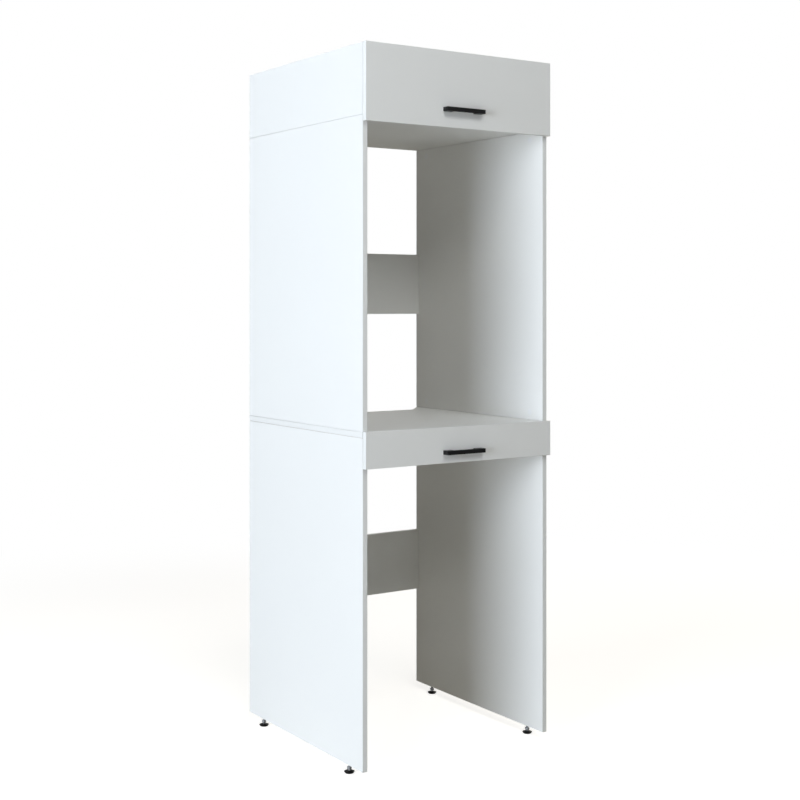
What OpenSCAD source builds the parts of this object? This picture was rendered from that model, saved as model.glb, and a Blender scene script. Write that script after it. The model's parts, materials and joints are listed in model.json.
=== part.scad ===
// Tall cabinet that holds a dryer above a washing machine. It has open bays for the two machines,
// a shallow drawer under the dryer's shelf and a top box closed by a lift-up flap.
// Millimetres. The origin is on the floor under the middle of the cabinet, +X is the right side
// seen from the front, and the fronts face -Y.

/* [Carcass] */
// Overall width, across the outer faces of the side panels
cabinet_w = 650; // [630:1:720]
// Depth of the side panels
side_d = 670; // [620:1:720]
// Height of the lower side panels
lower_side_h = 915; // [880:1:980]
// Height of the upper side panels
upper_side_h = 871; // [850:1:940]
// Height of the top box
top_box_h = 198; // [192:1:320]
// Thickness of the carcass boards
board_t = 16; // [15:0.5:19]
// Depth of the hose cut-out in the rear edge of the dryer shelf
notch_d = 82; // [40:1:110]
// Sideways run of each slanted end of the hose cut-out
notch_run = 72; // [30:1:110]
// Height of the rear rails
rail_h = 200; // [160:1:260]
// Height of each rear rail's lower edge above the floor of its bay
rail_rise = 317; // [250:1:380]
// Thickness of the fibreboard back of the top box and of the drawer bottom
sheet_t = 3; // [2.5:0.1:4]
// Depth of the grooves that hold the fibreboard
groove_d = 6; // [4:0.5:7]
// Distance from the rear edges to the top box's fibreboard back
back_inset = 10; // [6:1:20]

/* [Fronts] */
// Thickness of the drawer front and of the flap
front_t = 16; // [15:0.5:19]
// Gap between the fronts and the front edges of the carcass
front_gap = 2; // [1.6:0.1:3]
// Height of the drawer front
drawer_front_h = 102; // [98:1:130]
// Height of the drawer front's upper edge above the dryer shelf
drawer_lip = 2; // [0:0.5:4]
// How far the flap hangs below the top box
flap_drop = 19; // [10:1:24]
// Diameter of the soft bumpers behind the fronts
bumper_d = 8; // [6:0.5:10]

/* [Handles] */
// Overall length of a handle
handle_l = 134; // [124:1:180]
// Height of a handle
handle_h = 12; // [9:0.5:16]
// How far a handle stands out of its front
handle_reach = 22; // [20:0.5:32]
// Length of each handle post along the handle
handle_post_l = 28; // [20:1:32]
// Thickness of the grip between the posts
handle_grip_t = 8.5; // [6:0.5:11]
// Distance between the two handle screws
handle_screw_gap = 96; // [88:1:96]
// Height of the flap handle's middle above the flap's lower edge
flap_handle_rise = 50; // [40:1:80]
// Height of the drawer handle's middle above the drawer front's lower edge
drawer_handle_rise = 31; // [25:1:38]

/* [Drawer box] */
// Thickness of the drawer box boards
drawer_t = 12; // [12:0.5:15]
// Height of the drawer box
drawer_box_h = 64; // [60:1:68]
// Height of the drawer box's lower edge above the drawer front's lower edge
drawer_box_rise = 7; // [5:0.5:10]
// Height of the drawer bottom above the drawer box's lower edge
drawer_bottom_rise = 8; // [6:0.5:12]

/* [Runners] */
// Length of the drawer runners and of the drawer box
runner_l = 500; // [450:1:550]
// Thickness of a runner, which is the gap between the carcass and the drawer box
runner_t = 12.7; // [12.5:0.1:13.5]
// Half the height of a runner
runner_half_h = 22.5; // [21.5:0.1:23]
// Sheet thickness of the runner members
runner_wall = 1.2; // [1:0.1:1.3]
// Diameter of the runner balls
ball_d = 3.2; // [3:0.1:3.4]
// Height of a runner's centre line above the drawer box's lower edge
runner_rise = 20; // [17:0.5:22]
// Distance from the carcass's front edge to a runner's front end
runner_setback = 2; // [1:0.5:6]
// Distance from a runner's ends to its outer screws
runner_screw_inset = 35; // [25:1:50]
// Length of the cages that hold the balls
cage_l = 196; // [120:4:200]
// Distance between balls along a cage
ball_pitch = 24; // [16:1:40]

/* [Feet] */
// Height of the side panels' lower edges above the floor
foot_h = 24; // [22:0.5:34]
// Diameter of a foot's pad
pad_d = 30; // [24:1:40]
// Diameter of a foot's pad where it meets the floor
pad_base_d = 24; // [20:1:24]
// Height of a foot's pad
pad_h = 7.5; // [6:0.5:8]
// Height of a pad's widest part above the floor
pad_rim_h = 4.5; // [3.5:0.5:5]
// Diameter of the top of a foot's pad, around the socket
pad_top_d = 14; // [13:0.5:18]
// Thickness of a foot's pad below the socket
pad_floor_t = 2; // [1.5:0.5:2.5]
// Diameter of the foot's threaded stud
stud_d = 8; // [6:1:8]
// Length of the threaded stud above the hexagon
stud_l = 30; // [26:1:36]
// Width across the flats of the foot's hexagon
hex_w = 13; // [11:1:13]
// Height of the foot's hexagon
hex_h = 6.5; // [5:0.5:7]
// Height of the hexagon's lower face above the floor
hex_rise = 11; // [10:0.5:12]
// Distance from the side panel's front and rear edges to the feet
foot_inset = 82; // [40:1:150]
// Outer diameter of the threaded insert in the side panel
insert_d = 11; // [10:0.5:12]
// Length of the threaded insert
insert_l = 22; // [18:1:26]

/* [Board joints] */
// Diameter of the wooden dowels
dowel_d = 8; // [6:1:8]
// Length of the wooden dowels
dowel_l = 30; // [28:1:34]
// Depth of a dowel in the face of a board
dowel_face_l = 10; // [8:0.5:11]
// Diameter of the cam discs
cam_d = 15; // [14:0.5:16]
// Depth of the cam discs' bores
cam_depth = 12.5; // [12:0.1:13]
// Distance from a board's end to the centre of its cam disc
cam_inset = 24; // [24:0.5:30]
// Diameter of the connecting bolts' stems
bolt_d = 6; // [5:0.5:6.5]
// Length of the connecting bolts' threads
thread_l = 11; // [9:0.5:11.5]
// Diameter of the adhesive caps over the visible cam discs
cap_d = 19; // [18:0.5:22]
// Thickness of the adhesive caps
cap_t = 0.4; // [0.3:0.1:0.6]
// Distance from the front and rear edges to the first connecting bolts
bolt_inset = 60; // [50:1:64]
// Distance between neighbouring fittings along an edge
fitting_step = 32; // [30:1:34]

/* [Flap hinges] */
// Distance from the cabinet's middle to the middle of each hinge
hinge_x = 200; // [150:1:215]
// Length of a hinge
hinge_l = 60; // [50:1:70]
// Height of the hinge leaves on the boards
leaf_h = 13; // [12:0.5:13.5]
// Diameter of the hinge knuckles
knuckle_d = 3.8; // [3.6:0.1:4]
// Diameter of the hinge pins
hinge_pin_d = 2; // [1.8:0.1:2.2]
// Number of knuckles in a hinge
knuckle_n = 5; // [3:2:7]

/* [Gas struts] */
// Angle by which the flap opens
flap_open = 80; // [70:1:85]
// Distance from a side panel's inner face to the middle of its strut
strut_inset = 16; // [15:0.5:20]
// Distance of the strut's lower pivot behind the hinge pin
strut_back = 130; // [120:1:150]
// Distance of the strut's lower pivot below the hinge pin
strut_drop = 155; // [145:1:156]
// Distance of the strut's flap end behind the hinge pin
strut_flap_back = 20; // [18:0.5:22]
// Distance of the strut's flap end below the hinge pin
strut_flap_drop = 40; // [38:0.5:44]
// Outer diameter of the strut's cylinder
cylinder_d = 15; // [14:0.5:16]
// Wall thickness of the strut's cylinder
cylinder_wall = 1; // [0.8:0.1:1.2]
// Thickness of the cylinder's closed end
cylinder_floor_t = 3; // [2:0.5:5]
// Diameter of the strut's rod
strut_rod_d = 6; // [5:0.5:7]
// Diameter of the ball studs that carry the struts
strut_stud_d = 8; // [7:0.5:9]
// Distance of the piston from the lower end of the cylinder with the flap closed
piston_rise = 36; // [30:1:38]
// Height of the brackets on the side panels
wall_bracket_h = 42; // [40:1:46]
// Width of the brackets on the side panels
wall_bracket_w = 22; // [20:1:26]
// Height of the brackets on the flap
flap_bracket_h = 38; // [36:1:42]
// Width of the flap bracket's plate
flap_bracket_w = 18; // [17:1:22]
// Width of the flap bracket's ear
flap_ear_w = 16; // [14:0.5:18]
// Sheet thickness of the brackets
bracket_t = 2; // [1.5:0.1:2.2]

/* [Screws] */
// Shank diameter of the wood screws
screw_d = 4; // [3.5:0.1:4]
// Head diameter of the wood screws
screw_head_d = 6.8; // [6:0.1:7]
// Length of the screws in the runners' outer members and in the brackets
screw_l = 14; // [12:0.5:14]
// Length of the screws through the runners' inner members
runner_screw_l = 11; // [9:0.5:11.5]
// Length of the screws that hold the drawer front to the drawer box
front_screw_l = 24; // [20:1:25]
// Length of the screws at the corners of the drawer box
corner_screw_l = 35; // [30:1:40]
// Distance of the drawer front's screws from the drawer box's sides
front_screw_inset = 40; // [30:1:60]
// Shank diameter of the small screws in the hinges
small_screw_d = 2.6; // [2.4:0.1:3]
// Head diameter of the small screws
small_screw_head_d = 5; // [4.6:0.1:5.2]
// Length of the small screws
small_screw_l = 12; // [10:0.5:13]
// Shank diameter of the handle screws
handle_screw_d = 4; // [3.5:0.1:4]
// Head diameter of the handle screws
handle_screw_head_d = 8; // [7:0.1:8.5]

/* [Hidden] */
$fn = 64;

// Clearances: fit is a pin in its bore, play is between pieces that slide past each other
fit = 0.05;
play = 0.3;
cut = 1;

// Finishes
white = [0.95, 0.96, 0.97];
sheet_white = [0.9, 0.9, 0.9];
zinc = [0.72, 0.73, 0.75];
black = [0.05, 0.05, 0.05];
beech = [0.8, 0.65, 0.45];
nylon = [0.85, 0.85, 0.82];

// Carcass planes
half_w = cabinet_w / 2;
inner_x = half_w - board_t;
inner_w = 2 * inner_x;
total_d = side_d + front_gap + front_t + handle_reach;
back_y = total_d / 2;
front_y = back_y - side_d;
fronts_y = front_y - front_gap;
face_y = fronts_y - front_t;
panel_z = foot_h;
shelf_z = panel_z + lower_side_h;
shelf_top = shelf_z + board_t;
box_z = shelf_top + upper_side_h;
top_z = box_z + top_box_h;
lower_rail_z = panel_z + rail_rise;
upper_rail_z = shelf_top + rail_rise;
flap_z = box_z - flap_drop;
drawer_front_z = shelf_top + drawer_lip - drawer_front_h;
bumper_zs = [box_z + bumper_d, top_z - board_t - bumper_d, drawer_front_z + bumper_d, shelf_z - bumper_d];

// Fittings along the depth of the boards, from the front edge and mirrored from the rear edge
bolt_ys = [front_y + bolt_inset, back_y - bolt_inset];
corner_bolt_ys = [front_y + bolt_inset + fitting_step, back_y - bolt_inset - fitting_step];
corner_dowel_ys = [front_y + bolt_inset + 2 * fitting_step, back_y - bolt_inset - 2 * fitting_step];
stack_dowel_ys = [front_y + bolt_inset + 3 * fitting_step, back_y - bolt_inset - 3 * fitting_step];
shelf_dowel_ys = [front_y + bolt_inset + 4 * fitting_step, back_y - bolt_inset - 4 * fitting_step];
rail_y = back_y - board_t / 2;
rail_bolt_zs = [rail_h / 5, rail_h - rail_h / 5];
cam_head_d = bolt_d + 0.6;
cam_pocket_d = cam_head_d + 0.4;
thread_d = bolt_d - 1;

// Drawer
drawer_box_z = drawer_front_z + drawer_box_rise;
drawer_box_x = inner_x - runner_t;
drawer_inner_x = drawer_box_x - drawer_t;
drawer_back_y = fronts_y + runner_l;
drawer_handle_z = drawer_front_z + drawer_handle_rise;
front_screw_x = drawer_inner_x - front_screw_inset;
box_screw_zs = [6, drawer_box_h - 6];

// Runners, with u as the distance from the carcass side towards the drawer
runner_z = drawer_box_z + runner_rise;
runner_y = front_y + runner_setback;
member_reach = runner_t - 2.2;
ball_gap = ball_d + 0.1;
cage_wall = 0.6;
outer_cage_u = runner_wall + play;
middle_u = outer_cage_u + cage_wall + 0.4;
inner_cage_u = middle_u + runner_wall + 0.4;
inner_flange_u = inner_cage_u + cage_wall + 0.5;
inner_web_u = runner_t - runner_wall;
outer_track = runner_half_h - runner_wall;
middle_half_h = outer_track - ball_gap;
middle_track = middle_half_h - runner_wall;
inner_half_h = middle_track - ball_gap;
cage_y = runner_y + runner_l / 4;
ball_n = floor((cage_l - ball_pitch / 2) / ball_pitch);
runner_screw_ys = [runner_y + runner_screw_inset, runner_y + runner_l / 2,
    runner_y + runner_l - runner_screw_inset];

// Flap and its hinges
hinge_y = front_y - front_gap / 2;
knuckle_r = knuckle_d / 2;
hinge_z = top_z + sqrt(pow(knuckle_r + 0.1, 2) - pow(front_gap / 2, 2));
leaf_t = (front_gap - play) / 2;
knuckle_l = (hinge_l - (knuckle_n - 1) * play) / knuckle_n;
hinge_screw_xs = [-hinge_l / 2 + 10, 0, hinge_l / 2 - 10];
hinge_screw_z = top_z - leaf_h / 2 - 1;
flap_handle_z = flap_z + flap_handle_rise;

// Gas struts, with s as the distance from the lower pivot along the strut
strut_x = inner_x - strut_inset;
strut_y = hinge_y + strut_back;
strut_z = hinge_z - strut_drop;
strut_end_y = hinge_y + strut_flap_back;
strut_end_z = hinge_z - strut_flap_drop;
strut_tilt = atan2(strut_y - strut_end_y, strut_end_z - strut_z);
strut_l = norm([strut_y - strut_end_y, strut_end_z - strut_z]);
eye_r = strut_stud_d / 2 + 2;
eye_w = 10;
eye_bore_l = 7.5;
cylinder_s = eye_r + 14;
cylinder_end_s = strut_l - eye_r - 18;
bore_r = cylinder_d / 2 - cylinder_wall;
piston_s = cylinder_s + piston_rise;
piston_l = 8;
gland_l = 8;
flap_ear_x = strut_x - eye_w / 2 - 2 - bracket_t;

// Feet
foot_x = half_w - board_t / 2;
foot_ys = [front_y + foot_inset, back_y - foot_inset];
ball_end_r = stud_d / 2 + 0.5;
stud_z = pad_floor_t + fit;

// Draws a right-hand piece on the right or mirrored to the left
module on_side(side) {
    mirror([side < 0 ? 1 : 0, 0, 0]) children();
}

// Draws a right-hand piece on both sides
module both_sides() {
    on_side(1) children();
    on_side(-1) children();
}

// A cylinder along X from x = 0
module rod_x(d, l) {
    rotate([0, 90, 0]) cylinder(d = d, h = l);
}

// A cylinder along Y from y = 0
module rod_y(d, l) {
    rotate([-90, 0, 0]) cylinder(d = d, h = l);
}

// A wood screw along +Z with its countersunk head's face at z = 0
module wood_screw(d, head_d, l) {
    cylinder(d1 = head_d, d2 = d, h = (head_d - d) / 2);
    cylinder(d = d, h = l);
}

// The hole for a wood screw, with the head's seat at z = 0
module wood_screw_hole(d, head_d, l) {
    wood_screw(d + 2 * fit, head_d + 2 * fit, l + fit);
    translate([0, 0, -cut]) cylinder(d = head_d + 2 * fit, h = cut);
}

// A screw with a low round head that stands behind z = 0 and a shank along +Z
module head_screw(d, head_d, l) {
    translate([0, 0, -2]) cylinder(d1 = head_d - 1, d2 = head_d, h = 2);
    cylinder(d = d, h = l);
}

// Bores of a cam joint: the joint face is x = 0, the cam's board lies along -X and opens at +Z
module cam_bores() {
    translate([-cam_inset, 0, board_t / 2 - cam_depth]) cylinder(d = cam_d, h = cam_depth + cut);
    translate([-cam_inset, 0, 0]) rod_x(bolt_d + 2, cam_inset + cut);
}

// Thread hole of a cam joint, in the board along +X
module thread_bore() {
    translate([-cut, 0, 0]) rod_x(thread_d + 2 * fit, thread_l + cut + fit);
}

// Cam disc with its driver slot and the pocket that grips the bolt's head
module cam_disc() {
    difference() {
        translate([-cam_inset, 0, board_t / 2 - cam_depth + fit])
            cylinder(d = cam_d - 4 * fit, h = cam_depth - play);
        translate([-cam_inset - bolt_d / 2, 0, 0]) rod_x(cam_pocket_d, cam_d);
        for (turn = [0, 90]) {
            translate([-cam_inset, 0, board_t / 2]) rotate([0, 0, turn + 45])
                cube([8, 1.4, 4], center = true);
        }
    }
}

// Gripped end of a connecting bolt, from the joint face to the cam
module bolt_end() {
    translate([-cam_inset + 5, 0, 0]) rod_x(bolt_d, cam_inset - 5);
    translate([-cam_inset + 1, 0, 0]) rod_x(bolt_d - 2, 4 + fit);
    translate([-cam_inset - 2, 0, 0]) rod_x(cam_head_d, 3 + fit);
}

// Connecting bolt with a thread in the other board
module threaded_bolt() {
    bolt_end();
    rod_x(thread_d, thread_l);
}

// Puts a cam joint at a corner between a side panel and a board whose cams open upwards
module corner_joints(z, flip, ys) {
    for (y = ys) translate([inner_x, y, z + board_t / 2]) rotate([flip ? 180 : 0, 0, 0]) children();
}

// Puts a cam joint between a side panel and a rear rail, with the cams on the rail's rear face
module rail_joints(z, zs) {
    for (rise = zs) translate([inner_x, rail_y, z + rise]) rotate([-90, 0, 0]) children();
}

// Puts a cam joint at the upper edge of a side panel, with the cams on its inner face
module edge_joints(z, ys) {
    for (y = ys) translate([foot_x, y, z]) rotate([0, -90, 0]) children();
}

// The same at the lower edge of a side panel
module lower_edge_joints(z, ys) {
    for (y = ys) translate([foot_x, y, z]) mirror([0, 0, 1]) rotate([0, -90, 0]) children();
}

// Dowel across a joint face at x = 0, with its short end along +X
module dowel(gap = 0) {
    translate([dowel_face_l - dowel_l - gap, 0, 0]) rod_x(dowel_d + 2 * gap, dowel_l + 2 * gap);
}

// Bores in the side panels for the boards between them and for the joints at their edges
module side_joint_bores() {
    edge_joints(shelf_z, bolt_ys) cam_bores();
    edge_joints(box_z, bolt_ys) cam_bores();
    lower_edge_joints(shelf_top, bolt_ys) cam_bores();
    lower_edge_joints(box_z, bolt_ys) cam_bores();
    edge_joints(shelf_z, stack_dowel_ys) dowel(fit);
    lower_edge_joints(shelf_top, shelf_dowel_ys) dowel(fit);
    edge_joints(box_z, stack_dowel_ys) dowel(fit);
    corner_joints(box_z, false, corner_bolt_ys) thread_bore();
    corner_joints(box_z, false, corner_dowel_ys) dowel(fit);
    corner_joints(top_z - board_t, true, corner_bolt_ys) thread_bore();
    corner_joints(top_z - board_t, true, corner_dowel_ys) dowel(fit);
    rail_joints(lower_rail_z, rail_bolt_zs) thread_bore();
    rail_joints(upper_rail_z, rail_bolt_zs) thread_bore();
    rail_joints(lower_rail_z, [rail_h / 2]) dowel(fit);
    rail_joints(upper_rail_z, [rail_h / 2]) dowel(fit);
}

// Pilot holes of the screws that hold the runners and the strut brackets to the side panels
module side_screw_bores() {
    runner_screw_places() wood_screw_hole(screw_d, screw_head_d, screw_l);
    strut_bracket_screw_places() wood_screw_hole(screw_d, screw_head_d, screw_l);
}

module side_panel(z, h) {
    color(white) difference() {
        translate([inner_x, front_y, z]) cube([board_t, side_d, h]);
        side_joint_bores();
        side_screw_bores();
        for (y = foot_ys) {
            translate([foot_x, y, panel_z - cut]) cylinder(d = insert_d, h = insert_l + cut);
            translate([foot_x, y, panel_z]) cylinder(d = stud_d + 2, h = stud_l + 4);
        }
        back_sheet(fit);
    }
}

module lower_side(side) {
    on_side(side) side_panel(panel_z, lower_side_h);
}

module upper_side(side) {
    on_side(side) side_panel(shelf_top, upper_side_h);
}

module top_box_side(side) {
    on_side(side) side_panel(box_z, top_box_h);
}

module dryer_shelf() {
    color(white) difference() {
        translate([0, 0, shelf_z]) linear_extrude(board_t) polygon([
            [-half_w, front_y], [half_w, front_y], [half_w, back_y], [inner_x, back_y],
            [inner_x - notch_run, back_y - notch_d], [notch_run - inner_x, back_y - notch_d],
            [-inner_x, back_y], [-half_w, back_y]]);
        both_sides() {
            for (y = bolt_ys) translate([foot_x, y, shelf_z - cut])
                cylinder(d = bolt_d + 2, h = board_t + 2 * cut);
            edge_joints(shelf_z, stack_dowel_ys) dowel(fit);
            lower_edge_joints(shelf_top, shelf_dowel_ys) dowel(fit);
        }
    }
}

// Board between the two sides of the top box, with its cams opening into the compartment
module inset_board(z, flip) {
    color(white) difference() {
        translate([-inner_x, front_y, z]) cube([inner_w, side_d, board_t]);
        both_sides() {
            corner_joints(z, flip, corner_bolt_ys) cam_bores();
            corner_joints(z, flip, corner_dowel_ys) dowel(fit);
        }
        back_sheet(fit);
        both_hinges() for (x = hinge_screw_xs) translate([x, front_y - leaf_t, hinge_screw_z])
            rotate([-90, 0, 0]) wood_screw_hole(small_screw_d, small_screw_head_d, small_screw_l);
    }
}

module top_box_floor() {
    inset_board(box_z, false);
}

module top_board() {
    inset_board(top_z - board_t, true);
}

// Fibreboard back of the top box, which is grown by gap to cut its grooves
module back_sheet(gap = 0) {
    translate([-inner_x - groove_d + play - gap, back_y - back_inset - sheet_t - gap,
        box_z + board_t - groove_d + play - gap])
        cube([inner_w + 2 * (groove_d - play + gap), sheet_t + 2 * gap,
            top_box_h - 2 * board_t + 2 * (groove_d - play + gap)]);
}

module top_box_back() {
    color(sheet_white) back_sheet();
}

module rear_rail(z) {
    color(white) difference() {
        translate([-inner_x, back_y - board_t, z]) cube([inner_w, board_t, rail_h]);
        both_sides() {
            rail_joints(z, rail_bolt_zs) cam_bores();
            rail_joints(z, [rail_h / 2]) dowel(fit);
        }
    }
}

module wooden_dowels() {
    color(beech) both_sides() {
        edge_joints(shelf_z, stack_dowel_ys) dowel();
        lower_edge_joints(shelf_top, shelf_dowel_ys) dowel();
        edge_joints(box_z, stack_dowel_ys) dowel();
        corner_joints(box_z, false, corner_dowel_ys) dowel();
        corner_joints(top_z - board_t, true, corner_dowel_ys) dowel();
        rail_joints(lower_rail_z, [rail_h / 2]) dowel();
        rail_joints(upper_rail_z, [rail_h / 2]) dowel();
    }
}

module cam_discs() {
    color(zinc) both_sides() {
        edge_joints(shelf_z, bolt_ys) cam_disc();
        lower_edge_joints(shelf_top, bolt_ys) cam_disc();
        edge_joints(box_z, bolt_ys) cam_disc();
        lower_edge_joints(box_z, bolt_ys) cam_disc();
        corner_joints(box_z, false, corner_bolt_ys) cam_disc();
        corner_joints(top_z - board_t, true, corner_bolt_ys) cam_disc();
        rail_joints(lower_rail_z, rail_bolt_zs) cam_disc();
        rail_joints(upper_rail_z, rail_bolt_zs) cam_disc();
    }
}

// Single bolts screwed into the side panels, and double bolts through the shelf and between the sides
module connecting_bolts() {
    color(zinc) both_sides() {
        corner_joints(box_z, false, corner_bolt_ys) threaded_bolt();
        corner_joints(top_z - board_t, true, corner_bolt_ys) threaded_bolt();
        rail_joints(lower_rail_z, rail_bolt_zs) threaded_bolt();
        rail_joints(upper_rail_z, rail_bolt_zs) threaded_bolt();
        edge_joints(shelf_z, bolt_ys) {
            bolt_end();
            translate([-fit, 0, 0]) rod_x(bolt_d, board_t + 2 * fit);
            translate([board_t, 0, 0]) mirror([1, 0, 0]) bolt_end();
        }
        edge_joints(box_z, bolt_ys) {
            bolt_end();
            translate([-fit, 0, 0]) rod_x(bolt_d, 2 * fit);
            mirror([1, 0, 0]) bolt_end();
        }
    }
}

// Thin white caps stuck over the cams inside the dryer bay
module cam_cover_caps() {
    color(white) both_sides() {
        for (y = bolt_ys, z = [shelf_top + cam_inset, box_z - cam_inset])
            translate([inner_x - cap_t, y, z]) rod_x(cap_d, cap_t);
    }
}

module foot_inserts() {
    color(zinc) both_sides() for (y = foot_ys) translate([foot_x, y, panel_z]) difference() {
        cylinder(d = insert_d - 2 * fit, h = insert_l);
        translate([0, 0, -cut]) cylinder(d = stud_d + 2 * fit, h = insert_l + 2 * cut);
    }
}

// Soft bumpers stuck to the front edges of the side panels behind both fronts
module front_bumpers() {
    color(nylon) both_sides()
        for (z = bumper_zs)
            translate([foot_x, front_y - front_gap + play, z]) rod_y(bumper_d, front_gap - play);
}

// Cross-section of a runner member that lies between u0 and u1, with its web at u0 or at u1
module channel_section(u0, u1, half_h, web_at_end) {
    web_u = web_at_end ? u1 - runner_wall : u0;
    translate([-u1, -half_h]) square([u1 - u0, runner_wall]);
    translate([-u1, half_h - runner_wall]) square([u1 - u0, runner_wall]);
    translate([-web_u - runner_wall, -half_h]) square([runner_wall, 2 * half_h]);
}

// A runner member on the right side, which runs back from y
module runner_member(u0, u1, half_h, web_at_end) {
    translate([inner_x, runner_y + runner_l, runner_z]) rotate([90, 0, 0])
        linear_extrude(runner_l) channel_section(u0, u1, half_h, web_at_end);
}

module runner_screw_places() {
    for (y = runner_screw_ys) translate([inner_x - runner_wall, y, runner_z]) rotate([0, 90, 0]) children();
}

module drawer_screw_places() {
    for (y = runner_screw_ys) translate([drawer_box_x + runner_wall, y, runner_z])
        rotate([0, -90, 0]) children();
}

module runner_outer(side) {
    color(zinc) on_side(side) difference() {
        runner_member(0, member_reach, runner_half_h, false);
        runner_screw_places() wood_screw_hole(screw_d, screw_head_d, screw_l);
    }
}

module runner_middle(side) {
    color(zinc) on_side(side) runner_member(middle_u, member_reach, middle_half_h, false);
}

module runner_inner(side) {
    color(zinc) on_side(side) difference() {
        runner_member(inner_flange_u, runner_t, inner_half_h, true);
        drawer_screw_places() wood_screw_hole(screw_d, screw_head_d, runner_screw_l);
    }
}

// Cage with one row of balls above and one below, between the tracks at low_z and high_z
module ball_cage(side, u, reach, low_z, high_z, y0) {
    ball_z = (low_z + high_z) / 2;
    ball_u = (u + reach) / 2 + 1;
    ball_y = y0 + (cage_l - (ball_n - 1) * ball_pitch) / 2;
    on_side(side) {
        color(nylon) difference() {
            translate([inner_x, y0 + cage_l, runner_z]) rotate([90, 0, 0]) linear_extrude(cage_l) {
                translate([-u - cage_wall, -ball_z]) square([cage_wall, 2 * ball_z]);
                for (z = [-ball_z, ball_z]) translate([-reach, z - cage_wall / 2])
                    square([reach - u, cage_wall]);
            }
            for (k = [0 : ball_n - 1])
                translate([inner_x - ball_u, ball_y + k * ball_pitch, runner_z - ball_z - cut])
                    cylinder(d = ball_d + 2 * fit, h = 2 * (ball_z + cut));
        }
        color(zinc) for (k = [0 : ball_n - 1], z = [-ball_z, ball_z])
            translate([inner_x - ball_u, ball_y + k * ball_pitch, runner_z + z]) sphere(d = ball_d);
    }
}

module outer_ball_cage(side) {
    ball_cage(side, outer_cage_u, member_reach - 1, middle_half_h, outer_track, cage_y);
}

module inner_ball_cage(side) {
    ball_cage(side, inner_cage_u, member_reach - 0.5, inner_half_h, middle_track, cage_y);
}

// Where the knuckle of this number starts along the hinge
function knuckle_x(k) = k * (knuckle_l + play) - hinge_l / 2;

// Leaf of one hinge with its own knuckles: first is the first knuckle that it has
module hinge_leaf(leaf_y, first) {
    difference() {
        union() {
            translate([-hinge_l / 2, leaf_y, top_z - leaf_h])
                cube([hinge_l, leaf_t, hinge_z - top_z + leaf_h]);
            for (k = [first : 2 : knuckle_n - 1])
                translate([knuckle_x(k), hinge_y, hinge_z]) rod_x(knuckle_d, knuckle_l);
        }
        for (k = [1 - first : 2 : knuckle_n - 1])
            translate([knuckle_x(k) - play, hinge_y - front_gap, hinge_z - knuckle_r - play])
                cube([knuckle_l + 2 * play, 2 * front_gap, knuckle_d + 2 * play]);
        translate([-hinge_l / 2 - cut, hinge_y, hinge_z]) rod_x(hinge_pin_d + 2 * fit, hinge_l + 2 * cut);
    }
}

module both_hinges() {
    for (side = [-1, 1]) translate([side * hinge_x, 0, 0]) children();
}

module hinge_carcass_leaves() {
    color(zinc) both_hinges() difference() {
        hinge_leaf(front_y - leaf_t, 0);
        for (x = hinge_screw_xs) translate([x, front_y - leaf_t, hinge_screw_z]) rotate([-90, 0, 0])
            wood_screw_hole(small_screw_d, small_screw_head_d, small_screw_l);
    }
}

module hinge_flap_leaves() {
    color(zinc) both_hinges() difference() {
        hinge_leaf(fronts_y, 1);
        flap_hinge_screw_places() wood_screw_hole(small_screw_d, small_screw_head_d, small_screw_l);
    }
}

module flap_hinge_screw_places() {
    for (x = hinge_screw_xs) translate([x, fronts_y + leaf_t, hinge_screw_z]) rotate([90, 0, 0]) children();
}

module hinge_pins() {
    color(zinc) both_hinges() translate([-hinge_l / 2, hinge_y, hinge_z]) rod_x(hinge_pin_d, hinge_l);
}

// Screws of the strut's wall bracket, seen from the side panel's inner face
module strut_bracket_screw_places() {
    for (z = [-1, 1]) translate([inner_x - bracket_t, strut_y, strut_z + z * (wall_bracket_h / 2 - 6)])
        rotate([0, 90, 0]) children();
}

module strut_wall_brackets() {
    color(zinc) both_sides() difference() {
        union() {
            translate([inner_x - bracket_t, strut_y - wall_bracket_w / 2, strut_z - wall_bracket_h / 2])
                cube([bracket_t, wall_bracket_w, wall_bracket_h]);
            translate([strut_x - 2, strut_y, strut_z]) rod_x(strut_stud_d, strut_inset);
        }
        strut_bracket_screw_places() wood_screw_hole(screw_d, screw_head_d, screw_l);
    }
}

// Screws of the flap bracket, seen from the flap's inner face
module flap_bracket_screw_places() {
    for (z = [-1, 1])
        translate([flap_ear_x + bracket_t / 2 - flap_bracket_w / 2, fronts_y + bracket_t,
            strut_end_z + z * (flap_bracket_h / 2 - 7)])
            rotate([90, 0, 0]) children();
}

// Angle bracket on the flap, with a short stud that ends just short of the rod's socket
module strut_flap_brackets() {
    color(zinc) both_sides() difference() {
        union() {
            translate([flap_ear_x + bracket_t - flap_bracket_w, fronts_y, strut_end_z - flap_bracket_h / 2])
                cube([flap_bracket_w, bracket_t, flap_bracket_h]);
            translate([flap_ear_x, fronts_y, strut_end_z - flap_ear_w / 2])
                cube([bracket_t, strut_end_y - fronts_y, flap_ear_w]);
            translate([flap_ear_x, strut_end_y, strut_end_z]) rod_x(flap_ear_w, bracket_t);
            translate([flap_ear_x, strut_end_y, strut_end_z]) rod_x(strut_stud_d, bracket_t + 2 - play);
        }
        flap_bracket_screw_places() wood_screw_hole(screw_d, screw_head_d, screw_l);
    }
}

// Draws a piece of the strut in its own frame: the lower pivot at the origin, the rod's end at +Z
module along_strut(side) {
    on_side(side) translate([strut_x, strut_y, strut_z]) rotate([strut_tilt, 0, 0]) children();
}

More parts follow.
